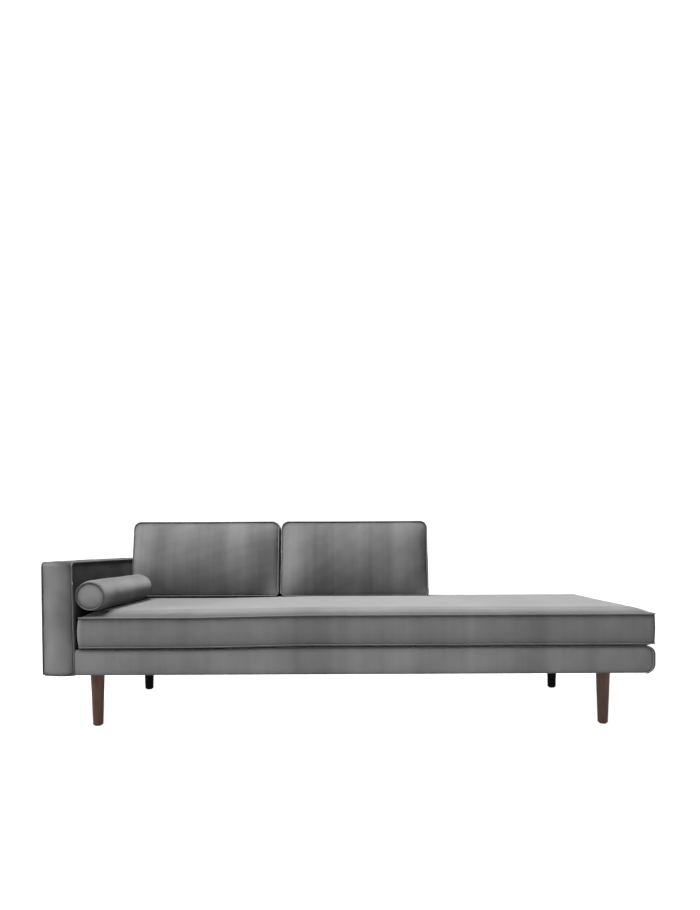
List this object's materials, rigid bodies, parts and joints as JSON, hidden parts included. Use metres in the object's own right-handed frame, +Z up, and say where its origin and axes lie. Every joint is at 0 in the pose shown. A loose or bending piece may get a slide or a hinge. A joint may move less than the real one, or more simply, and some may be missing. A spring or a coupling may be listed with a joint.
{
  "type": "daybed",
  "caption": "Upholstered daybed with a boxed mattress on a slim platform, a padded arm at one end, a low back, loose back cushions, a bolster and turned tapered legs.",
  "frame": {"origin": "on the floor, under the middle of the overall length and depth", "axes": "+X along the length with the arm at -X, -Y towards the front, +Z up"},
  "size_m": [2.2, 0.86, 0.7782],
  "materials": {
    "velvet_grey": "short cotton velvet pile",
    "piping_grey": "velvet piping over a cotton cord",
    "lining_black": "spunbond lining cloth",
    "foam": "open cell polyurethane foam",
    "wadding": "polyester wadding",
    "walnut": "oiled turned walnut",
    "pine": "planed softwood",
    "plywood": "thin plywood",
    "zinc_steel": "zinc plated steel",
    "glide_plastic": "moulded polyethylene",
    "zip_plastic": "coil zip on woven tape"
  },
  "bodies": {
    "frame": {"arm_cover_band": "velvet_grey", "arm_cover_inner": "velvet_grey", "arm_cover_outer": "velvet_grey", "arm_frame_posts": "pine", "arm_frame_rails": "pine", "arm_padding": "foam", "arm_piping": "piping_grey", "arm_side_boards": "plywood", "back_cover_band": "velvet_grey", "back_cover_inner": "velvet_grey", "back_cover_outer": "velvet_grey", "back_frame_posts": "pine", "back_frame_rails": "pine", "back_padding": "foam", "back_piping": "piping_grey", "back_side_boards": "plywood", "bolts": "zinc_steel", "deck_cloth": "lining_black", "deck_foam": "foam", "glides": "glide_plastic", "leg_blocks": "pine", "leg_front_left": "walnut", "leg_front_right": "walnut", "leg_rear_left": "walnut", "leg_rear_right": "walnut", "platform_cover_end": "velvet_grey", "platform_cover_front": "velvet_grey", "platform_cover_rear": "velvet_grey", "platform_cross_members": "pine", "platform_front_rail": "pine", "platform_left_rail": "pine", "platform_padding": "foam", "platform_piping": "piping_grey", "platform_rear_rail": "pine", "platform_right_rail": "pine", "spring_clips": "zinc_steel", "springs": "zinc_steel", "tee_nuts": "zinc_steel", "under_cloths": "lining_black"},
    "mattress": {"mattress_bottom_panel": "velvet_grey", "mattress_boxing": "velvet_grey", "mattress_core": "foam", "mattress_piping": "piping_grey", "mattress_top_panel": "velvet_grey", "mattress_wrap": "wadding", "mattress_zip": "zip_plastic"},
    "left_cushion": {"left_cushion_boxing": "velvet_grey", "left_cushion_core": "foam", "left_cushion_front_panel": "velvet_grey", "left_cushion_piping": "piping_grey", "left_cushion_rear_panel": "velvet_grey"},
    "right_cushion": {"right_cushion_boxing": "velvet_grey", "right_cushion_core": "foam", "right_cushion_front_panel": "velvet_grey", "right_cushion_piping": "piping_grey", "right_cushion_rear_panel": "velvet_grey"},
    "bolster": {"bolster_core": "foam", "bolster_ends": "velvet_grey", "bolster_piping": "piping_grey", "bolster_sleeve": "velvet_grey"}
  },
  "joints": [
    {"name": "mattress_lift", "type": "slide", "parent": "frame", "child": "mattress", "axis": [0, 0, 1], "range_m": [0, 0.36]},
    {"name": "left_cushion_lift", "type": "slide", "parent": "mattress", "child": "left_cushion", "axis": [0, 0, 1], "range_m": [0, 0.4]},
    {"name": "right_cushion_lift", "type": "slide", "parent": "mattress", "child": "right_cushion", "axis": [0, 0, 1], "range_m": [0, 0.4]},
    {"name": "bolster_lift", "type": "slide", "parent": "mattress", "child": "bolster", "axis": [0, 0, 1], "range_m": [0, 0.4]}
  ]
}
